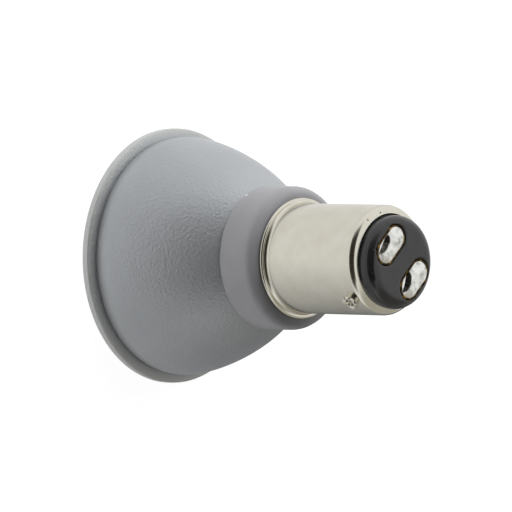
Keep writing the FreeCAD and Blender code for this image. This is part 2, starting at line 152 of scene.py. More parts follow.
bpy.ops.object.select_all(action="DESELECT")
bpy.ops.mesh.primitive_plane_add(size=TABLE_SIDE, location=(0, 0, 0))
table = bpy.context.object
table.name = "white_table"
opal, tree = blank_material("lit_opal_sheet")
seen = seen_directly(tree)
shade = wire(tree, "ShaderNodeMapRange", {"Value": seen, "To Min": TABLE_SHADE, "To Max": TABLE_SEEN_SHADE})
light = wire(tree, "ShaderNodeMapRange", {"Value": seen, "To Min": TABLE_GLOW, "To Max": TABLE_SEEN_GLOW})
matt = wire(tree, "ShaderNodeBsdfDiffuse", {"Color": shade.outputs[0]})
glow = wire(tree, "ShaderNodeEmission", {"Color": (1, 1, 1, 1), "Strength": light.outputs[0]})
both = wire(tree, "ShaderNodeAddShader", {0: matt.outputs[0], 1: glow.outputs[0]})
wire(tree, "ShaderNodeOutputMaterial", {"Surface": both.outputs[0]})
table.data.materials.append(opal)


def soft_box(name, direction, radiance):
    """A square lamp that looks at the bulb, as bright as the radiance says."""
    data = bpy.data.lights.new(name, "AREA")
    data.shape = "SQUARE"
    data.size = SOFT_BOX_SIDE
    data.energy = radiance * math.pi * SOFT_BOX_SIDE ** 2
    box = bpy.data.objects.new(name, data)
    bpy.context.scene.collection.objects.link(box)
    direction = direction.normalized()
    box.matrix_world = direction.to_track_quat("Z", "Y").to_matrix().to_4x4()
    box.location = direction * LIGHT_DISTANCE
    box.visible_glossy = False


picture_up = Vector((view_up.x, view_up.y, 0)).normalized()


def round_the_bulb(turn, height):
    """Direction from the bulb: turn 0 is the picture's top, and a positive turn comes to the camera."""
    turned = picture_up * math.cos(turn) + towards_camera * math.sin(turn)
    return turned * math.cos(height) + axis_up * math.sin(height)


soft_box("key_light", round_the_bulb(*KEY_PLACE), KEY_RADIANCE)
soft_box("fill_light", round_the_bulb(*FILL_PLACE), FILL_RADIANCE)


def painted_card(card, paint, share, shades):
    """Gives a card glowing shades that only shiny surfaces see."""
    tree = paint.node_tree
    shade = wire(tree, "ShaderNodeValToRGB", {"Fac": share}, steps=shades)
    glow = wire(tree, "ShaderNodeEmission", {"Color": shade.outputs["Color"], "Strength": 1.0})
    wire(tree, "ShaderNodeOutputMaterial", {"Surface": glow.outputs[0]})
    card.data.materials.append(paint)
    card.visible_camera = False
    card.visible_diffuse = False
    card.visible_shadow = False


# The card on the table grades evenly from pale, towards the lamps, to dark on the far side, by degrees
# from +X
TABLE_CARD_NEAR = 17.6 * MM
TABLE_CARD_FAR = 400 * MM
TABLE_CARD_LIFT = 0.05 * MM
TABLE_CARD_CORNERS = 96
TABLE_CARD_SHADES = ((-45, "#f0f0f0"), (120, "#505050"), (135, "#f0f0f0"))
bpy.ops.object.select_all(action="DESELECT")
bpy.ops.mesh.primitive_circle_add(
    vertices=TABLE_CARD_CORNERS, radius=TABLE_CARD_NEAR, location=(0, 0, TABLE_CARD_LIFT))
table_card = bpy.context.object
table_card.name = "table_card"
bpy.ops.object.mode_set(mode="EDIT")
bpy.ops.mesh.select_all(action="SELECT")
bpy.ops.mesh.extrude_region_move()
bpy.ops.transform.resize(value=(TABLE_CARD_FAR / TABLE_CARD_NEAR, TABLE_CARD_FAR / TABLE_CARD_NEAR, 1),
                         center_override=(0, 0, 0))
bpy.ops.object.mode_set(mode="OBJECT")
paint, tree = blank_material("table_card_paint")
place = wire(tree, "ShaderNodeSeparateXYZ", {0: wire(tree, "ShaderNodeTexCoord").outputs["Object"]})
angle = wire(tree, "ShaderNodeMath", {0: place.outputs["Y"], 1: place.outputs["X"]}, operation="ARCTAN2")
share = wire(tree, "ShaderNodeMapRange",
             {"Value": angle.outputs[0], "From Min": -math.pi, "From Max": math.pi})
shades = [((degrees + 180) / 360, colour) for degrees, colour in TABLE_CARD_SHADES]
painted_card(table_card, paint, share.outputs[0], shades)

# The dark card hangs in front of the camera, and fades out at its edges
CAMERA_CARD_DISTANCE = 420 * MM
CAMERA_CARD_SIDE = 1800 * MM
CAMERA_CARD_FADES = {"X": (250 * MM, 385 * MM), "Y": (250 * MM, 850 * MM)}
CAMERA_CARD_SHADES = ((0.0, "#332f2a"), (1.0, "#ffffff"))
bpy.ops.object.select_all(action="DESELECT")
bpy.ops.mesh.primitive_plane_add(size=CAMERA_CARD_SIDE)
camera_card = bpy.context.object
camera_card.name = "camera_card"
camera_card.matrix_world = Matrix.Translation(view_back * CAMERA_CARD_DISTANCE) @ turn
paint, tree = blank_material("camera_card_paint")
place = wire(tree, "ShaderNodeSeparateXYZ", {0: wire(tree, "ShaderNodeTexCoord").outputs["Object"]})
fades = []
for axis, (dark_until, white_from) in CAMERA_CARD_FADES.items():
    off = wire(tree, "ShaderNodeMath", {0: place.outputs[axis]}, operation="ABSOLUTE")
    fades.append(wire(tree, "ShaderNodeMapRange", {
        "Value": off.outputs[0], "From Min": dark_until, "From Max": white_from},
        interpolation_type="SMOOTHSTEP").outputs[0])
fade = wire(tree, "ShaderNodeMath", {0: fades[0], 1: fades[1]}, operation="MAXIMUM")
painted_card(camera_card, paint, fade.outputs[0], CAMERA_CARD_SHADES)

# The grey card stands behind the bulb, below it in the picture
LOW_CARD_DISTANCE = 300 * MM
LOW_CARD_SIDE = 560 * MM
LOW_CARD_AWAY, LOW_CARD_DOWN, LOW_CARD_RAISED = 0.5, 0.8, 0.6
LOW_CARD_FADE = (165 * MM, 270 * MM)
LOW_CARD_SHADES = ((0.0, "#b4b1a7"), (1.0, "#ffffff"))
low_card_way = (-towards_camera * LOW_CARD_AWAY - picture_up * LOW_CARD_DOWN
                + axis_up * LOW_CARD_RAISED).normalized()
bpy.ops.object.select_all(action="DESELECT")
bpy.ops.mesh.primitive_plane_add(size=LOW_CARD_SIDE)
low_card = bpy.context.object
low_card.name = "low_card"
low_card.matrix_world = (Matrix.Translation(low_card_way * LOW_CARD_DISTANCE)
                         @ low_card_way.to_track_quat("Z", "Y").to_matrix().to_4x4())
paint, tree = blank_material("low_card_paint")
place = wire(tree, "ShaderNodeTexCoord").outputs["Object"]
out = wire(tree, "ShaderNodeVectorMath", {0: place}, operation="LENGTH")
share = wire(tree, "ShaderNodeMapRange", {
    "Value": out.outputs["Value"], "From Min": LOW_CARD_FADE[0], "From Max": LOW_CARD_FADE[1]})
painted_card(low_card, paint, share.outputs[0], LOW_CARD_SHADES)


# Housing
# One aluminium casting: a bowl with a flanged rim, a fine cast line behind the flange, and a hollow for
# the lamp board. It is powder coated grey, and the coat dries with a fine pebble grain.
RIM_EDGE = 1.1 * MM
RIM_SLOPE = 0.3 * MM
RIM_STEP = 1.14 * MM
RIM_ROUND = 0.25 * MM
CAST_LINE_WIDTH = 0.2 * MM
CAST_LINE_DEPTH = 0.06 * MM
BOWL_FOOT = 1.8 * MM
BOWL_FOOT_SETBACK = 0.26 * MM
BOWL_FOOT_STEPS = 8
BOWL_BACK_RADIUS = 9.2 * MM
BOWL_PULLS = (3.0 * MM, 6.0 * MM)
BOWL_LEANS = (math.radians(4), math.radians(47))
BOWL_RINGS = 36
RIM_WALL = 2.2 * MM
BOWL_WALL = 1.5 * MM
FLOOR_DEPTH = 10.5 * MM
FLOOR_BACK = 13.0 * MM
CHAMBER_ROUND = 0.5 * MM
BORE_RADIUS = 8.12 * MM
WIRE_HOLE_RADIUS = 2.35 * MM
CHAMBER_BACK_RADIUS = 12.87 * MM
LENS_THICKNESS = 1.4 * MM
RING_SEGMENTS = 180
ROUND_STEPS = 6
WELD_DISTANCE = 0.002 * MM
AXIS_RADIUS = 1e-4 * MM
SOFT_UP_TO = math.radians(35)


def rounded(*corners):
    """Stations through corners of (radius, level) or (radius, level, rounding)."""
    stations = [Vector(corners[0][:2])]
    for before, corner, after in zip(corners, corners[1:], corners[2:]):
        point = Vector(corner[:2])
        if len(corner) == 2:
            stations.append(point)
            continue
        back = (Vector(before[:2]) - point).normalized()
        ahead = (Vector(after[:2]) - point).normalized()
        half = back.angle(ahead) / 2
        centre = point + (back + ahead).normalized() * corner[2] / math.sin(half)
        start = point + back * corner[2] / math.tan(half) - centre
        end = point + ahead * corner[2] / math.tan(half) - centre
        sweep = math.atan2(start.cross(end), start.dot(end))
        for step in range(ROUND_STEPS + 1):
            stations.append(centre + Matrix.Rotation(sweep * step / ROUND_STEPS, 2) @ start)
    stations.append(Vector(corners[-1][:2]))
    return stations


def closed_up():
    """In edit mode, turns every face outwards, and leaves edit mode."""
    bpy.ops.mesh.select_all(action="SELECT")
    bpy.ops.mesh.normals_make_consistent(inside=False)
    bpy.ops.object.mode_set(mode="OBJECT")


def drawn_rings(name, stations, segments=RING_SEGMENTS):
    """A ring drawn out along its outline, from station to station, as on a lathe."""
    bpy.ops.object.select_all(action="DESELECT")
    bpy.ops.mesh.primitive_circle_add(
        vertices=segments, radius=max(stations[0].x, AXIS_RADIUS), location=(0, 0, stations[0].y))
    piece = bpy.context.object
    piece.name = name
    piece.data.name = name
    bpy.ops.object.transform_apply(location=True, rotation=True, scale=True)
    bpy.ops.object.mode_set(mode="EDIT")
    bpy.ops.mesh.select_all(action="SELECT")
    for here, there in zip(stations, stations[1:]):
        bpy.ops.mesh.extrude_region_move(TRANSFORM_OT_translate={"value": (0, 0, there.y - here.y)})
        share = max(there.x, AXIS_RADIUS) / max(here.x, AXIS_RADIUS)
        bpy.ops.transform.resize(value=(share, share, 1), center_override=(0, 0, there.y))
    bpy.ops.mesh.select_all(action="SELECT")
    bpy.ops.mesh.remove_doubles(threshold=WELD_DISTANCE)
    closed_up()
    bpy.ops.object.shade_smooth_by_angle(angle=SOFT_UP_TO)
    return piece


rim_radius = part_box("reflector_housing")[1].x
bowl_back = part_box("reflector_housing")[1].z
lens_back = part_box("lens_plate")[0].z + LENS_THICKNESS
cast_line_front = RIM_EDGE + RIM_SLOPE
cast_line_back = cast_line_front + CAST_LINE_WIDTH
bowl_front = cast_line_back + BOWL_FOOT
bowl_front_radius = rim_radius - RIM_STEP
foot_radius = bowl_front_radius - BOWL_FOOT_SETBACK
pull_from = Vector((bowl_front_radius, bowl_front))
pull_to = Vector((BOWL_BACK_RADIUS, bowl_back))
pull_first = pull_from + Vector((-math.sin(BOWL_LEANS[0]), math.cos(BOWL_LEANS[0]))) * BOWL_PULLS[0]
pull_last = pull_to - Vector((-math.sin(BOWL_LEANS[1]), math.cos(BOWL_LEANS[1]))) * BOWL_PULLS[1]
bowl_stations = []
for ring in range(BOWL_RINGS + 1):
    along = ring / BOWL_RINGS
    rest = 1 - along
    bowl_stations.append(
        pull_from * rest ** 3 + pull_first * 3 * rest ** 2 * along
        + pull_last * 3 * rest * along ** 2 + pull_to * along ** 3)
front_stations = rounded(
    (WIRE_HOLE_RADIUS, FLOOR_BACK),
    (WIRE_HOLE_RADIUS, FLOOR_DEPTH),
    (CHAMBER_BACK_RADIUS, FLOOR_DEPTH, CHAMBER_ROUND),
    (bowl_front_radius - BOWL_WALL, lens_back),
    (rim_radius - RIM_WALL, lens_back),
    (rim_radius - RIM_WALL, 0),
    (rim_radius, 0, RIM_ROUND),
    (rim_radius, RIM_EDGE, RIM_ROUND),
    (foot_radius - CAST_LINE_DEPTH, cast_line_front),
    (foot_radius - CAST_LINE_DEPTH, cast_line_back),
)
for step in range(BOWL_FOOT_STEPS + 1):
    swing = math.pi / 2 * step / BOWL_FOOT_STEPS
    front_stations.append(Vector((foot_radius + BOWL_FOOT_SETBACK * math.sin(swing),
                                  cast_line_back + BOWL_FOOT * (1 - math.cos(swing)))))
back_stations = [
    Vector((BORE_RADIUS, bowl_back)),
    Vector((BORE_RADIUS, FLOOR_BACK)),
    Vector((WIRE_HOLE_RADIUS, FLOOR_BACK)),
]
bowl = drawn_rings("cast_bowl", front_stations + bowl_stations[1:] + back_stations)

# Powder coat with a little metal flake: satin, so it darkens where it faces the camera, with a pebble
# grain of about four tenths of a millimetre. The rim is painted lighter, most at its outer edge: a painted
# highlight that lifts the shade on the flange.
GRAIN = 0.38 * MM
GRAIN_DEPTH = 0.028 * MM
COAT_CLOUD = 9 * MM
RIM_PAINTED_LIGHT = 0.5
RIM_PAINTED_LIGHT_STARTS = 1.25 * MM
RIM_PAINTED_LIGHT_FULL = 0.1 * MM
powder_coat, tree = blank_material("grey_powder_coat")
place = wire(tree, "ShaderNodeTexCoord").outputs["Object"]
grain = wire(tree, "ShaderNodeTexNoise",
             {"Vector": place, "Scale": 1 / GRAIN, "Detail": 1.0, "Roughness": 0.5})
clouds = wire(tree, "ShaderNodeTexNoise", {"Vector": place, "Scale": 1 / COAT_CLOUD, "Detail": 3.0})
shades = wire(tree, "ShaderNodeValToRGB", {"Fac": clouds.outputs["Fac"]},
              steps=((0.3, "#999c9f"), (0.7, "#9fa2a5")))
flat_place = wire(tree, "ShaderNodeVectorMath", {0: place, 1: (1, 1, 0)}, operation="MULTIPLY")
from_axis = wire(tree, "ShaderNodeVectorMath", {0: flat_place.outputs[0]}, operation="LENGTH")
# Painted highlight: the coat turns lighter towards the rim's outer edge, standing in for light on the flange
painted_rim_light = wire(tree, "ShaderNodeMapRange", {
    "Value": from_axis.outputs["Value"], "From Min": rim_radius - RIM_PAINTED_LIGHT_STARTS,
    "From Max": rim_radius - RIM_PAINTED_LIGHT_FULL, "To Max": RIM_PAINTED_LIGHT})
tone = wire(tree, "ShaderNodeMix", {0: painted_rim_light.outputs[0], 6: shades.outputs["Color"], 7: linear("#c4c5c0")},
            data_type="RGBA")
pebble = wire(tree, "ShaderNodeMapRange", {"Value": grain.outputs["Fac"], "From Min": 0.42, "From Max": 0.68},
              interpolation_type="SMOOTHSTEP")
bumps = wire(tree, "ShaderNodeBump", {"Height": pebble.outputs[0], "Strength": 1.0, "Distance": GRAIN_DEPTH})
coat = wire(tree, "ShaderNodeBsdfPrincipled",
            {"Base Color": tone.outputs[2], "Metallic": 0.5, "Roughness": 0.43, "Specular IOR Level": 0.8,
             "Normal": bumps.outputs["Normal"]})
wire(tree, "ShaderNodeOutputMaterial", {"Surface": coat.outputs[0]})
bowl.data.materials.append(powder_coat)
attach(bowl, "root")
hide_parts("reflector_housing")


# Collar
# A smooth ring moulded in grey nylon, screwed to the floor of the bowl. Its back edge is well rounded,
# the gate has left a dark speck on it, and its front edge has a small pale spot in one place.
COLLAR_OVERHANG = 0.6 * MM
COLLAR_FRONT_ROUND = 0.15 * MM
COLLAR_BACK_ROUND = 1.4 * MM
COLLAR_SPIGOT_RADIUS = 8.02 * MM
COLLAR_TAIL_RADIUS = 7.1 * MM
COLLAR_BORE_RADIUS = 6.3 * MM
GATE_SPECK = ("#5a5a5a", (8.95, -4.0, 24.0), 0.14)
# A small pale spot on the front edge
FRONT_EDGE_PALE_SPOT = ("#c6caca", (-2.6, -9.45, 18.75), 0.22)
SPOT_FADE = 1.6
collar_radius = BOWL_BACK_RADIUS + COLLAR_OVERHANG
collar_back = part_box("base_shell")[0].z
collar_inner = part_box("collar")[0].z
collar_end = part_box("collar")[1].z
collar = drawn_rings("moulded_collar", rounded(
    (COLLAR_BORE_RADIUS, collar_inner),
    (COLLAR_SPIGOT_RADIUS, collar_inner),
    (COLLAR_SPIGOT_RADIUS, bowl_back),
    (collar_radius, bowl_back, COLLAR_FRONT_ROUND),
    (collar_radius, collar_back, COLLAR_BACK_ROUND),
    (COLLAR_TAIL_RADIUS, collar_back),
    (COLLAR_TAIL_RADIUS, collar_end),
    (COLLAR_BORE_RADIUS, collar_end),
    (COLLAR_BORE_RADIUS, collar_inner),
))


def marked(tree, place, colour, spot_colour, middle_mm, radius_mm):
    """Lays a small soft spot of another colour over a colour."""
    off = wire(tree, "ShaderNodeVectorMath", {0: place, 1: Vector(middle_mm) * MM}, operation="DISTANCE")
    share = wire(tree, "ShaderNodeMapRange", {
        "Value": off.outputs["Value"], "From Min": radius_mm * MM, "From Max": radius_mm * SPOT_FADE * MM,
        "To Min": 1.0, "To Max": 0.0})
    return wire(tree, "ShaderNodeMix", {0: share.outputs[0], 6: colour, 7: linear(spot_colour)},
                data_type="RGBA").outputs[2]


# Moulded nylon: an even satin with a very fine skin, drawn at half a millimetre so that it shows
nylon, tree = blank_material("satin_grey_nylon")
place = wire(tree, "ShaderNodeTexCoord").outputs["Object"]
flow = wire(tree, "ShaderNodeTexNoise", {"Vector": place, "Scale": 1 / (4 * MM), "Detail": 2.0})
shades = wire(tree, "ShaderNodeValToRGB", {"Fac": flow.outputs["Fac"]},
              steps=((0.2, "#818184"), (0.8, "#8a8a8d"))).outputs["Color"]
for spot in (GATE_SPECK, FRONT_EDGE_PALE_SPOT):
    shades = marked(tree, place, shades, *spot)
skin = wire(tree, "ShaderNodeTexNoise", {"Vector": place, "Scale": 1 / (0.5 * MM), "Detail": 2.0})
bumps = wire(tree, "ShaderNodeBump", {"Height": skin.outputs["Fac"], "Strength": 0.3, "Distance": 0.03 * MM})
body = wire(tree, "ShaderNodeBsdfPrincipled",
            {"Base Color": shades, "Roughness": 0.45, "Specular IOR Level": 0.35,
             "Normal": bumps.outputs["Normal"]})
wire(tree, "ShaderNodeOutputMaterial", {"Surface": body.outputs[0]})
collar.data.materials.append(nylon)
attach(collar, "root")
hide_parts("collar")


# Base shell
# Drawn from thin brass sheet and nickel plated: a rolled bead at the mouth, a straight skirt, and an end
# turned in over the glass, with a few pin-prick pits in the plating there.
SHELL_WALL = 0.3 * MM
BEAD_STEP = 0.75 * MM
BEAD_HEIGHT = 0.6 * MM
BEAD_ROUND = 0.29 * MM
BEAD_SHELF = 0.18 * MM
NECK_START = 0.25 * MM
NECK_ROUND = 0.8 * MM
SHELL_END_LIFT = 0.27 * MM
SHELL_END_ROUND = 1.05 * MM
SHELL_END_TURN = 1.14 * MM
SHELL_END_DISH = 0.3 * MM
PLATING_PITS = ((-3.17, -5.94, 41.1), (-0.77, -6.9, 41.0), (3.9, -6.1, 41.2))
PIT_RADIUS = 0.1
shell_low, shell_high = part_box("base_shell")
bead_radius = shell_high.x
shell_radius = bead_radius - BEAD_STEP
shell_mouth = shell_low.z
shell_end = shell_high.z + SHELL_END_LIFT
neck_radius = shell_radius - SHELL_END_TURN
shell = drawn_rings("plated_shell", rounded(
    (shell_radius - SHELL_WALL, shell_mouth),
    (bead_radius, shell_mouth, BEAD_ROUND),
    (bead_radius, shell_mouth + BEAD_HEIGHT, BEAD_ROUND),
    (bead_radius - BEAD_ROUND - BEAD_SHELF, shell_mouth + BEAD_HEIGHT),
    (shell_radius, shell_mouth + BEAD_HEIGHT + NECK_START, NECK_ROUND),
    (shell_radius, shell_end - SHELL_END_DISH, SHELL_END_ROUND),
    (neck_radius, shell_end),
    (neck_radius, shell_end - SHELL_WALL),
    (shell_radius - SHELL_WALL, shell_end - SHELL_END_DISH - SHELL_WALL, SHELL_END_ROUND - SHELL_WALL),
    (shell_radius - SHELL_WALL, shell_mouth),
))

# Bright nickel over drawn brass: a warm grey mirror, softened by haze and by drawing lines along the
# axis, which are drawn coarser than they are
nickel, tree = blank_material("nickel_plated_brass")
place = wire(tree, "ShaderNodeTexCoord").outputs["Object"]
stretch = wire(tree, "ShaderNodeMapping", {"Vector": place, "Scale": (1, 1, 0.04)})
lines = wire(tree, "ShaderNodeTexNoise",
             {"Vector": stretch.outputs[0], "Scale": 1 / (0.15 * MM), "Detail": 3.0})
haze = wire(tree, "ShaderNodeTexNoise", {"Vector": place, "Scale": 1 / (2.5 * MM), "Detail": 4.0})
tint = wire(tree, "ShaderNodeValToRGB", {"Fac": haze.outputs["Fac"]},
            steps=((0.3, "#d3d0c2"), (0.7, "#dad7cb"))).outputs["Color"]
for pit in PLATING_PITS:
    tint = marked(tree, place, tint, "#5b574c", pit, PIT_RADIUS)
dull = wire(tree, "ShaderNodeMapRange", {"Value": haze.outputs["Fac"], "To Min": 0.14, "To Max": 0.24})
bumps = wire(tree, "ShaderNodeBump",
             {"Height": lines.outputs["Fac"], "Strength": 0.05, "Distance": 0.01 * MM})
plate = wire(tree, "ShaderNodeBsdfPrincipled",
             {"Base Color": tint, "Metallic": 1.0, "Roughness": dull.outputs[0],
              "Normal": bumps.outputs["Normal"]})
wire(tree, "ShaderNodeOutputMaterial", {"Surface": plate.outputs[0]})
shell.data.materials.append(nickel)
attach(shell, "root")
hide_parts("base_shell")


# Bayonet pins
# Short brass pins through the shell's wall, plated with it. Staking has spread each tip into a ragged
# crown round a dimple. The outline gives radius and distance from the bulb's axis in mm.
PIN_SEGMENTS = 40
PIN_OUTLINE = (
    (0, 6.3), (1.02, 6.3), (1.02, 7.5), (1.04, 7.85), (1.16, 8.05), (1.18, 8.28), (1.05, 8.42), (0.85, 8.44),
    (0.66, 8.38), (0.54, 8.15), (0.46, 7.75), (0, 7.65))
CROWN_FROM = 7.9 * MM
CROWN_LOBES = 4
CROWN_TURN = 0.6
LOBE_SPREAD, GAP_NARROWING, RAGGED_SPREAD = 0.16, 0.12, 0.06
GAP_DROP, RAGGED_DROP = 0.22, 0.05
pin_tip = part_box("bayonet_pin_1")[1].x
for number, side in ((1, 1), (2, -1)):
    pin_low, pin_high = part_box("bayonet_pin_%d" % number)
    pin_level = (pin_low.z + pin_high.z) / 2
    dice = random.Random(7 * number)
    pin = drawn_rings("bayonet_pin_crown_%d" % number,
                      [Vector(station) * MM for station in PIN_OUTLINE], segments=PIN_SEGMENTS)
    bpy.ops.object.mode_set(mode="EDIT")
    mesh = bmesh.from_edit_mesh(pin.data)
    for corner in mesh.verts:
        crown = max(0.0, (corner.co.z - CROWN_FROM) / (pin_tip - CROWN_FROM))
        across = math.atan2(corner.co.y, corner.co.x)
        lobe = 0.5 + 0.5 * math.cos(CROWN_LOBES * across + CROWN_TURN)
        ragged = dice.uniform(-1, 1)
        spread = 1 + crown * (LOBE_SPREAD * lobe - GAP_NARROWING + RAGGED_SPREAD * ragged)
        corner.co.x *= spread
        corner.co.y *= spread
        corner.co.z -= crown * (GAP_DROP * (1 - lobe) + RAGGED_DROP * abs(ragged)) * MM
    bmesh.update_edit_mesh(pin.data)
    bpy.ops.mesh.select_all(action="SELECT")
    bpy.ops.transform.rotate(value=-side * math.pi / 2, orient_axis="Y", center_override=(0, 0, 0))
    bpy.ops.transform.translate(value=(0, 0, pin_level))
    closed_up()
    pin.data.materials.append(nickel)
    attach(pin, "root")
    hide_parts("bayonet_pin_%d" % number)


# Glass end
# Black glass moulded into the shell's end round the pins and contacts: a low knob with a soft edge that
# sits a little off the shell's axis, with two oblong recesses for the contact cups. Gas has left small
# pores in its skin.
KNOB_OFF_AXIS = 0.25 * MM
KNOB_RADIUS = 6.36 * MM
KNOB_EDGE_ROUND = 1.45 * MM
KNOB_WAIST = 0.05 * MM
KNOB_WAIST_HEIGHT = 0.1 * MM
KNOB_SIDE_HEIGHT = 0.5 * MM
MOAT_DEPTH = 0.27 * MM
MOAT_INSIDE = 0.15 * MM
MOAT_OUTSIDE = 0.1 * MM
GLASS_VOXEL = 0.12 * MM
RECESS_GAP = 0.08 * MM
CUTTER_REACH = 2 * MM
OBLONG_SEGMENTS = 48
knob_shift = axis_up.cross(towards_camera) * KNOB_OFF_AXIS
glass_low, glass_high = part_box("base_insulator")
glass_face = glass_high.z
moat = shell_end - MOAT_DEPTH
knob = drawn_rings("black_glass_end", rounded(
    (0, glass_low.z),
    (shell_radius - SHELL_WALL, glass_low.z),
    (shell_radius - SHELL_WALL, shell_end - SHELL_END_DISH - SHELL_WALL, SHELL_END_ROUND - SHELL_WALL),
    (neck_radius + MOAT_OUTSIDE, shell_end - SHELL_WALL),
    (neck_radius + MOAT_OUTSIDE, moat),
    (neck_radius - MOAT_INSIDE, moat),
    (neck_radius - KNOB_WAIST, shell_end + KNOB_WAIST_HEIGHT),
    (KNOB_RADIUS, shell_end + KNOB_SIDE_HEIGHT),
    (KNOB_RADIUS, glass_face, KNOB_EDGE_ROUND),
    (0, glass_face),
))


def select_where(piece, test):
    """In edit mode, selects the points whose place passes the test."""
    bpy.ops.mesh.select_all(action="DESELECT")
    mesh = bmesh.from_edit_mesh(piece.data)
    for point in mesh.verts:
        point.select = test(point.co)
    mesh.select_flush_mode()
    bmesh.update_edit_mesh(piece.data)


def alone(piece):
    """Selects a piece and nothing else."""
    bpy.ops.object.select_all(action="DESELECT")
    bpy.context.view_layer.objects.active = piece
    piece.select_set(True)


def finished_with(piece, kind, **settings):
    """Adds a modifier and applies it."""
    alone(piece)
    step = piece.modifiers.new(kind.lower(), kind)
    for name, value in settings.items():
        setattr(step, name, value)
    bpy.ops.object.modifier_apply(modifier=step.name)


def oblong_block(name, length, width, low, high, middle):
    """A block with round ends, long along X."""
    bpy.ops.object.select_all(action="DESELECT")
    bpy.ops.mesh.primitive_circle_add(
        vertices=OBLONG_SEGMENTS, radius=width / 2, fill_type="NGON", location=(0, 0, low))
    block = bpy.context.object
    block.name = name
    block.data.name = name
    bpy.ops.object.transform_apply(location=True, rotation=True, scale=True)
    bpy.ops.object.mode_set(mode="EDIT")
    for side in (1, -1):
        select_where(block, lambda point: point.x * side > 1e-3 * MM)
        bpy.ops.transform.translate(value=(side * (length - width) / 2, 0, 0))
    bpy.ops.mesh.select_all(action="SELECT")
    bpy.ops.transform.translate(value=(middle.x, middle.y, 0))
    bpy.ops.mesh.extrude_region_move(TRANSFORM_OT_translate={"value": (0, 0, high - low)})
    return block


alone(knob)
bpy.ops.object.mode_set(mode="EDIT")
select_where(knob, lambda point: point.z > shell_end - 0.01 * MM)
bpy.ops.transform.translate(value=knob_shift)
bpy.ops.object.mode_set(mode="OBJECT")
for number in (1, 2):
    cup_low, cup_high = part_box("contact_plate_%d" % number)
    cup_middle = (cup_low + cup_high) / 2 + knob_shift
    recess = oblong_block(
        "recess_cutter", cup_high.x - cup_low.x + 2 * RECESS_GAP, cup_high.y - cup_low.y + 2 * RECESS_GAP,
        cup_low.z, glass_face + CUTTER_REACH, cup_middle)
    closed_up()
    finished_with(knob, "BOOLEAN", operation="DIFFERENCE", solver="EXACT", object=recess)
    bpy.data.objects.remove(recess)
finished_with(knob, "REMESH", mode="VOXEL", voxel_size=GLASS_VOXEL)
finished_with(knob, "SMOOTH", factor=0.5, iterations=6)
bpy.ops.object.shade_smooth()

# Pressed black glass: a soft shine that waves a little, with pin-prick pores
glass, tree = blank_material("black_glass")
place = wire(tree, "ShaderNodeTexCoord").outputs["Object"]
waves = wire(tree, "ShaderNodeTexNoise", {"Vector": place, "Scale": 1 / (2.2 * MM), "Detail": 2.0})
bumps = wire(tree, "ShaderNodeBump",
             {"Height": waves.outputs["Fac"], "Strength": 0.25, "Distance": 0.1 * MM})
dull = wire(tree, "ShaderNodeMapRange", {"Value": waves.outputs["Fac"], "To Min": 0.12, "To Max": 0.26})
black = wire(tree, "ShaderNodeValToRGB", {"Fac": waves.outputs["Fac"]},
             steps=((0.35, "#1e1e20"), (0.65, "#252527")))
pores = wire(tree, "ShaderNodeTexVoronoi", {"Vector": place, "Scale": 1 / (1.1 * MM)})
pore = wire(tree, "ShaderNodeMapRange",
            {"Value": pores.outputs["Distance"], "From Min": 0.06, "From Max": 0.16})
bumps = wire(tree, "ShaderNodeBump", {"Height": pore.outputs[0], "Strength": 0.5, "Distance": 0.06 * MM,
                                      "Normal": bumps.outputs["Normal"]})
melt = wire(tree, "ShaderNodeBsdfPrincipled",
            {"Base Color": black.outputs["Color"], "Roughness": dull.outputs[0], "IOR": 1.52,
             "Normal": bumps.outputs["Normal"]})
wire(tree, "ShaderNodeOutputMaterial", {"Surface": melt.outputs[0]})
knob.data.materials.append(glass)
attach(knob, "root")
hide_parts("base_insulator")


# Contact cups
# Two oblong cups pressed from brass sheet and fused into the glass. Only their lips show, stained brown
# where the glass and the flux have touched them.
CUP_WALL = 0.25 * MM
CUP_LIP_DROP = 0.1 * MM
CUP_LIP_ROUND = 0.08 * MM
lip = glass_face - CUP_LIP_DROP


def clouded(name, cloud_size, detail, shades, surface, dents=None):
    """A finish whose colour drifts in small clouds, with dents of (strength, depth) where it has them."""
    finish, tree = blank_material(name)
    place = wire(tree, "ShaderNodeTexCoord").outputs["Object"]
    clouds = wire(tree, "ShaderNodeTexNoise",
                  {"Vector": place, "Scale": 1 / cloud_size, "Detail": detail}).outputs["Fac"]
    shade = wire(tree, "ShaderNodeValToRGB", {"Fac": clouds}, steps=shades)
    inputs = {"Base Color": shade.outputs["Color"], **surface}
    if dents:
        bumps = wire(tree, "ShaderNodeBump", {"Height": clouds, "Strength": dents[0], "Distance": dents[1]})
        inputs["Normal"] = bumps.outputs["Normal"]
    skin = wire(tree, "ShaderNodeBsdfPrincipled", inputs)
    wire(tree, "ShaderNodeOutputMaterial", {"Surface": skin.outputs[0]})
    return finish


def broken_edges(piece, width, segments):
    """Rounds a piece's sharp edges a little."""
    finished_with(piece, "BEVEL", width=width, segments=segments, limit_method="ANGLE",
                  angle_limit=math.radians(50))
    bpy.ops.object.shade_smooth_by_angle(angle=math.radians(40))


# Pressed brass under burnt flux: dark brown with gold showing through
brass = clouded("stained_pressed_brass", 0.8 * MM, 3.0,
                ((0.4, "#2b2012"), (0.52, "#4a3818"), (0.66, "#9a7c3e")),
                {"Metallic": 1.0, "Roughness": 0.34})
for number in (1, 2):
    cup_low, cup_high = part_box("contact_plate_%d" % number)
    cup_middle = (cup_low + cup_high) / 2 + knob_shift
    cup = oblong_block("contact_cup_%d" % number, cup_high.x - cup_low.x, cup_high.y - cup_low.y,
                       cup_low.z, lip, cup_middle)
    bpy.ops.mesh.inset(thickness=CUP_WALL)
    bpy.ops.mesh.extrude_region_move(TRANSFORM_OT_translate={"value": (0, 0, cup_low.z + CUP_WALL - lip)})
    closed_up()
    broken_edges(cup, CUP_LIP_ROUND, 3)
    cup.data.materials.append(brass)
    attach(cup, "root")
    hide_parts("contact_plate_%d" % number)
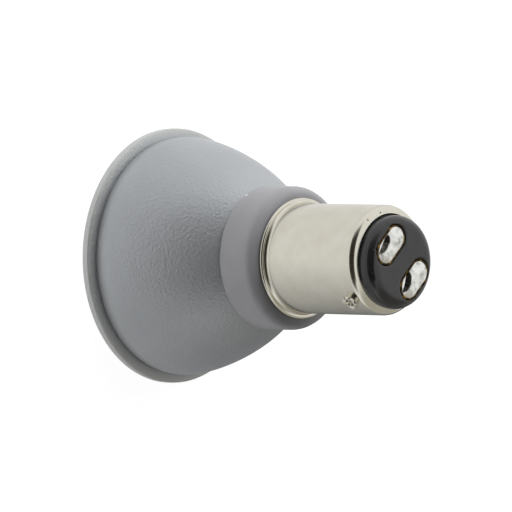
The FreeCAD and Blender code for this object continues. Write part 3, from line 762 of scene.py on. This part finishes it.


# Solder
# Tin solder fills each cup to a lumpy bright dome. It has drawn back from the wall in one place and left
# a hollow there, with a thin ridge of tin along the wall. The hollow is painted brown-black, a painted shade.
SOLDER_VOXEL = 0.06 * MM
SOLDER_FALL = 0.35 * MM
SOLDER_TOP_DROP = 0.02 * MM
SOLDER_FOOT = 0.1 * MM
SOLDER_LEAST = 0.05 * MM
HOLLOW_DEPTH = 0.75 * MM
HOLLOW_HALF_LENGTH = 1.55 * MM
HOLLOW_NEAR = 0.2 * MM
HOLLOW_FAR = 0.85 * MM
HOLLOW_EDGE = 0.16
HOLLOWS = {1: ((1.45, -1.0), 26), 2: ((1.05, -1.15), 13)}
SOLDER_LUMPS = (
    ((-1.5, 0.3), 0.10, 0.9), ((0.2, -0.1), -0.08, 0.8), ((-2.1, -0.5), -0.08, 0.7), ((0.6, 0.9), 0.06, 0.6))


def hollow_share(spot, number):
    """How deep a place in cup 1 or 2 lies in the hollow, from 0 at its edge to 1."""
    (along, across), slant = HOLLOWS[number]
    from_middle = Vector((spot.x - along * MM, spot.y - across * MM))
    from_middle = Matrix.Rotation(-math.radians(slant), 2) @ from_middle
    leaf = math.sqrt(max(1 - (from_middle.x / HOLLOW_HALF_LENGTH) ** 2, 0))
    reach = leaf * (HOLLOW_FAR if from_middle.y > 0 else HOLLOW_NEAR)
    if reach < 1e-3 * MM:
        return 0
    return max(1 - abs(from_middle.y) / reach, 0) * leaf


# Set solder: a bright, slightly frosted metal, and a brown-black tin in the hollow, which is painted shade
tin, tree = blank_material("bright_tin_solder")
place = wire(tree, "ShaderNodeTexCoord").outputs["Object"]
lumps = wire(tree, "ShaderNodeTexNoise",
             {"Vector": place, "Scale": 1 / (0.8 * MM), "Detail": 4.0, "Roughness": 0.6})
veins = wire(tree, "ShaderNodeValToRGB", {"Fac": lumps.outputs["Fac"]},
             steps=((0.34, "#a3a4a0"), (0.45, "#d2d2cd"), (0.6, "#e8e8e4")))
dull = wire(tree, "ShaderNodeMapRange", {"Value": lumps.outputs["Fac"], "To Min": 0.4, "To Max": 0.2})
bumps = wire(tree, "ShaderNodeBump",
             {"Height": lumps.outputs["Fac"], "Strength": 0.5, "Distance": 0.12 * MM})
drop = wire(tree, "ShaderNodeBsdfPrincipled",
            {"Base Color": veins.outputs["Color"], "Metallic": 1.0, "Roughness": dull.outputs[0],
             "Normal": bumps.outputs["Normal"]})
wire(tree, "ShaderNodeOutputMaterial", {"Surface": drop.outputs[0]})
# The dark tin is painted shade for the hollow
hollow_shade_tin = clouded("tin_with_painted_hollow_shade", 0.5 * MM, 3.0,
               ((0.35, "#2c2b28"), (0.55, "#4b4945"), (0.72, "#8b8982")),
               {"Metallic": 0.8, "Roughness": 0.3})
for number in (1, 2):
    drop_low, drop_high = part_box("contact_solder_%d" % number)
    drop_middle = (drop_low + drop_high) / 2 + knob_shift
    half_width = (drop_high.y - drop_low.y) / 2
    straight = (drop_high.x - drop_low.x) / 2 - half_width
    solder = oblong_block("solder_drop_%d" % number, drop_high.x - drop_low.x, drop_high.y - drop_low.y,
                          drop_low.z, drop_high.z - SOLDER_TOP_DROP, drop_middle)
    closed_up()
    finished_with(solder, "REMESH", mode="VOXEL", voxel_size=SOLDER_VOXEL)
    bpy.ops.object.mode_set(mode="EDIT")
    mesh = bmesh.from_edit_mesh(solder.data)
    bottom = drop_low.z + SOLDER_FOOT
    for point in mesh.verts:
        if point.co.z < bottom:
            continue
        spot = point.co - drop_middle
        out = min(math.hypot(max(abs(spot.x) - straight, 0), spot.y) / half_width, 1)
        fall = SOLDER_FALL * out ** 2 + HOLLOW_DEPTH * hollow_share(spot, number)
        for (along, across), height, reach in SOLDER_LUMPS:
            far = math.hypot(spot.x / MM - along, spot.y / MM - across) / reach
            fall -= height * MM * max(1 - far ** 2, 0) ** 2
        share = (point.co.z - bottom) / (drop_high.z - bottom)
        point.co.z -= min(max(fall, 0), drop_high.z - bottom - SOLDER_LEAST) * share
    bmesh.update_edit_mesh(solder.data)
    bpy.ops.object.mode_set(mode="OBJECT")
    finished_with(solder, "SMOOTH", factor=0.5, iterations=3)
    bpy.ops.object.shade_smooth()
    solder.data.materials.append(tin)
    solder.data.materials.append(hollow_shade_tin)
    # Faces in the hollow take the dark tin: painted shade in the hollow
    for face in solder.data.polygons:
        in_painted_shade = hollow_share(face.center - drop_middle, number) > HOLLOW_EDGE and face.center.z > bottom
        face.material_index = 1 if in_painted_shade else 0
    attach(solder, "root")
    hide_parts("contact_solder_%d" % number)


# Lens plate
# One clear acrylic moulding: a plate with three collimators that gather the light of the lamps, and legs
# with pegs that stand in the lamp board.
def smooth_copy(node, name, angle=30):
    """A merged copy of a CAD node's mesh with soft shading, which stands for that node."""
    source = bpy.data.objects[node]
    copy = bpy.data.objects.new(name, source.data.copy())
    bpy.context.scene.collection.objects.link(copy)
    copy.data.name = name
    copy.data.materials.clear()
    alone(copy)
    bpy.ops.mesh.customdata_custom_splitnormals_clear()
    bpy.ops.object.mode_set(mode="EDIT")
    bpy.ops.mesh.select_all(action="SELECT")
    bpy.ops.mesh.remove_doubles(threshold=0.001 * MM)
    bpy.ops.object.mode_set(mode="OBJECT")
    bpy.ops.object.shade_smooth_by_angle(angle=math.radians(angle))
    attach(copy, "root")
    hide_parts(node)
    return copy


lens = smooth_copy("lens_plate", "clear_lens_plate")
# Polished acrylic: water clear, with faint flow ripples
lens.data.materials.append(clouded(
    "clear_moulded_acrylic", 3 * MM, 1.0, ((0.3, "#f7f9fa"), (0.7, "#ffffff")),
    {"Roughness": 0.03, "IOR": 1.49, "Transmission Weight": 1.0}, dents=(0.1, 0.03 * MM)))


# Lamp board
# A round aluminium board that carries the lamps, under white solder resist, which throws stray light
# back into the lens. Three screws hold it down on the floor of the bowl.
lamp_board = smooth_copy("led_board", "lamp_board")
# Printed solder resist: warm white, half matt
lamp_board.data.materials.append(clouded(
    "white_solder_resist", 0.4 * MM, 2.0, ((0.3, "#e4e5e2"), (0.7, "#eeefec")),
    {"Roughness": 0.42}, dents=(0.2, 0.02 * MM)))


# Lamps
# Three power LEDs: a pale ceramic base soldered to the board, and a soft silicone dome tinted yellow by
# the phosphor in it.
LAMP_BASE_DEPTH = 0.61 * MM
# Fired alumina is matt and chalky, and the silicone over the phosphor is glossy and egg yellow
ceramic_base = clouded("fired_alumina_base", 0.15 * MM, 2.0, ((0.3, "#dcdad2"), (0.7, "#e9e7df")),
                       {"Roughness": 0.6})
phosphor = clouded("phosphor_in_silicone", 0.3 * MM, 3.0, ((0.3, "#d9b63c"), (0.7, "#e6c857")),
                   {"Roughness": 0.18, "IOR": 1.41, "Coat Weight": 0.4, "Coat Roughness": 0.08})
for number in (1, 2, 3):
    lamp = smooth_copy("led_%d" % number, "lamp_%d" % number)
    base_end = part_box("led_%d" % number)[1].z - LAMP_BASE_DEPTH
    lamp.data.materials.append(ceramic_base)
    lamp.data.materials.append(phosphor)
    for face in lamp.data.polygons:
        face.material_index = 1 if face.center.z < base_end else 0


# Thermal pad
# A soft sheet of grey silicone, filled with oxide. It is pressed between the lamp board and the floor of
# the bowl, and takes the lamps' heat across.
pad = smooth_copy("thermal_pad", "gap_pad")
# Filled silicone: a dead matt blue-grey with fine specks
pad.data.materials.append(clouded(
    "oxide_filled_silicone", 0.25 * MM, 3.0, ((0.35, "#6f8a94"), (0.65, "#83a0aa")), {"Roughness": 0.85}))


# Screws
# Small zinc-plated steel screws: pan heads hold the lamp board, countersunk ones the collar. The plating
# is bluish and a little streaked by the rolling of the thread.
# Zinc plate: a cool, soft shine with a small spangle
zinc, tree = blank_material("blue_passivated_zinc")
place = wire(tree, "ShaderNodeTexCoord").outputs["Object"]
spangle = wire(tree, "ShaderNodeTexNoise", {"Vector": place, "Scale": 1 / (0.3 * MM), "Detail": 2.0})
blue = wire(tree, "ShaderNodeValToRGB", {"Fac": spangle.outputs["Fac"]},
            steps=((0.3, "#a9afb6"), (0.7, "#c9ccd0")))
dull = wire(tree, "ShaderNodeMapRange", {"Value": spangle.outputs["Fac"], "To Min": 0.25, "To Max": 0.4})
plating = wire(tree, "ShaderNodeBsdfPrincipled",
               {"Base Color": blue.outputs["Color"], "Metallic": 1.0, "Roughness": dull.outputs[0]})
wire(tree, "ShaderNodeOutputMaterial", {"Surface": plating.outputs[0]})
for node, name in (("board_screws", "pan_head_screws"), ("collar_screws", "countersunk_screws")):
    smooth_copy(node, name).data.materials.append(zinc)


# Driver board
# Glass-fibre board under green solder resist, upright in two grooves of the collar. The weave just shows
# as a fine check.
board = smooth_copy("driver_board", "driver_circuit_board")
# Solder resist over woven glass: glossy green, with a weave of half a millimetre just showing
laminate, tree = blank_material("green_solder_resist")
place = wire(tree, "ShaderNodeTexCoord").outputs["Object"]
weave = wire(tree, "ShaderNodeTexChecker", {
    "Vector": place, "Scale": 1 / (0.5 * MM), "Color1": linear("#1f6b3f"), "Color2": linear("#246f45")})
bumps = wire(tree, "ShaderNodeBump",
             {"Height": weave.outputs["Fac"], "Strength": 0.15, "Distance": 0.02 * MM})
film = wire(tree, "ShaderNodeBsdfPrincipled",
            {"Base Color": weave.outputs["Color"], "Roughness": 0.32, "Normal": bumps.outputs["Normal"]})
wire(tree, "ShaderNodeOutputMaterial", {"Surface": film.outputs[0]})
board.data.materials.append(laminate)


# Chips
# The driver chip, the bridge rectifier and the sense resistor, moulded or coated in matt black epoxy with
# a fine eroded grain, and soldered flat to the board.
CHIP_EDGE_ROUND = 0.12 * MM
# Moulding epoxy: matt grey-black from the eroded mould, with its grain drawn coarser than it is
epoxy = clouded("black_moulding_epoxy", 0.12 * MM, 2.0, ((0.3, "#1b1b1d"), (0.7, "#262628")),
                {"Roughness": 0.62}, dents=(0.4, 0.02 * MM))
for node, name in (("driver_chip", "driver_ic"), ("bridge_rectifier", "rectifier_block"),
                   ("sense_resistor", "chip_resistor")):
    chip = smooth_copy(node, name)
    broken_edges(chip, CHIP_EDGE_ROUND, 2)
    chip.data.materials.append(epoxy)


# Input capacitor
# A multilayer ceramic block, fired tan brown, soldered flat to the board. Tumbling has worn its edges
# round.
BLOCK_EDGE_ROUND = 0.18 * MM
block = smooth_copy("input_capacitor", "ceramic_capacitor")
broken_edges(block, BLOCK_EDGE_ROUND, 3)
# Fired ceramic: an even, half matt tan
block.data.materials.append(clouded(
    "fired_tan_ceramic", 0.2 * MM, 3.0, ((0.3, "#94714c"), (0.7, "#a9835a")), {"Roughness": 0.5}))


# Inductor
# A drum of dark ferrite that stands on the driver board, with enamelled copper wire wound round its
# waist, turn beside turn.
DRUM_GROOVE = 0.3 * MM
COPPER_TURN = 0.25 * MM
WAVES_PER_SCALE = 0.3
drum = smooth_copy("power_inductor", "wound_drum")
drum_low, drum_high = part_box("power_inductor")
drum_middle = (drum_low + drum_high) / 2
# Pressed ferrite is a dull dark grey, and the enamelled copper shines reddish brown, with its turns
# drawn at a quarter of a millimetre so that they show
drum.data.materials.append(clouded(
    "pressed_ferrite", 0.15 * MM, 3.0, ((0.3, "#2b2b2d"), (0.7, "#3a3a3c")),
    {"Roughness": 0.55, "Specular IOR Level": 0.7}))
copper, tree = blank_material("enamelled_copper_turns")
place = wire(tree, "ShaderNodeTexCoord").outputs["Object"]
turns = wire(tree, "ShaderNodeTexWave", {"Vector": place, "Scale": WAVES_PER_SCALE / COPPER_TURN},
             bands_direction="Y")
red = wire(tree, "ShaderNodeValToRGB", {"Fac": turns.outputs["Fac"]},
           steps=((0.0, "#6e2f14"), (0.6, "#b4602f")))
bumps = wire(tree, "ShaderNodeBump", {"Height": turns.outputs["Fac"], "Strength": 0.8, "Distance": 0.06 * MM})
body = wire(tree, "ShaderNodeBsdfPrincipled",
            {"Base Color": red.outputs["Color"], "Metallic": 0.7, "Roughness": 0.25,
             "Normal": bumps.outputs["Normal"]})
wire(tree, "ShaderNodeOutputMaterial", {"Surface": body.outputs[0]})
drum.data.materials.append(copper)
for face in drum.data.polygons:
    out = math.hypot(face.center.x, face.center.z - drum_middle.z)
    waist = abs(face.normal.y) < 0.5 and out < (drum_high.x - drum_low.x) / 2 - DRUM_GROOVE
    face.material_index = 1 if waist else 0


# Smoothing capacitor
# A drawn aluminium can that lies on the driver board, in a shrunk black sleeve that leaves its grooved
# end and its flat back bare.
BARE_END = 0.9 * MM
BARE_BACK = 0.02 * MM
can = smooth_copy("smoothing_capacitor", "capacitor_can_sleeved")
can_low, can_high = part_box("smoothing_capacitor")
# Shrunk sleeve: glossy black with soft creases over clean grey aluminium
can.data.materials.append(clouded(
    "black_shrink_sleeve", 1.2 * MM, 2.0, ((0.3, "#16181c"), (0.7, "#202329")),
    {"Roughness": 0.22}, dents=(0.3, 0.05 * MM)))
can.data.materials.append(clouded(
    "drawn_aluminium_can", 0.2 * MM, 2.0, ((0.3, "#c3c6c8"), (0.7, "#d6d8da")),
    {"Metallic": 1.0, "Roughness": 0.3}))
for face in can.data.polygons:
    bare = not can_low.z + BARE_END <= face.center.z <= can_high.z - BARE_BACK
    face.material_index = 1 if bare else 0


# Contact wires
# Two tinned copper wires, soldered to the contact cups and led down through the glass to the driver
# board.
# Hot-dipped tin: a warm silver shine with some haze
tinned = clouded("tinned_copper_wire", 0.6 * MM, 3.0, ((0.3, "#b9b8b2"), (0.7, "#d2d1cc")),
                 {"Metallic": 1.0, "Roughness": 0.3})
for number in (1, 2):
    contact_wire = smooth_copy("contact_wire_%d" % number, "tinned_wire_%d" % number,
                               angle=60)
    contact_wire.data.materials.append(tinned)


# Lamp wires
# A red and a black lead with silicone covers, soldered to the driver board and led through the floor of
# the bowl to the lamp board.
for node, name, slot, low, high in (
        ("led_wire_red", "red_lead", "red_insulation", "#a3201c", "#b52a24"),
        ("led_wire_black", "black_lead", "black_insulation", "#191a1c", "#232427")):
    lead = smooth_copy(node, name, angle=60)
    # Silicone rubber: half matt and slightly cloudy
    lead.data.materials.append(clouded(
        name + "_silicone_rubber", 0.5 * MM, 2.0, ((0.3, low), (0.7, high)),
        {"Roughness": 0.55}, dents=(0.2, 0.02 * MM)))
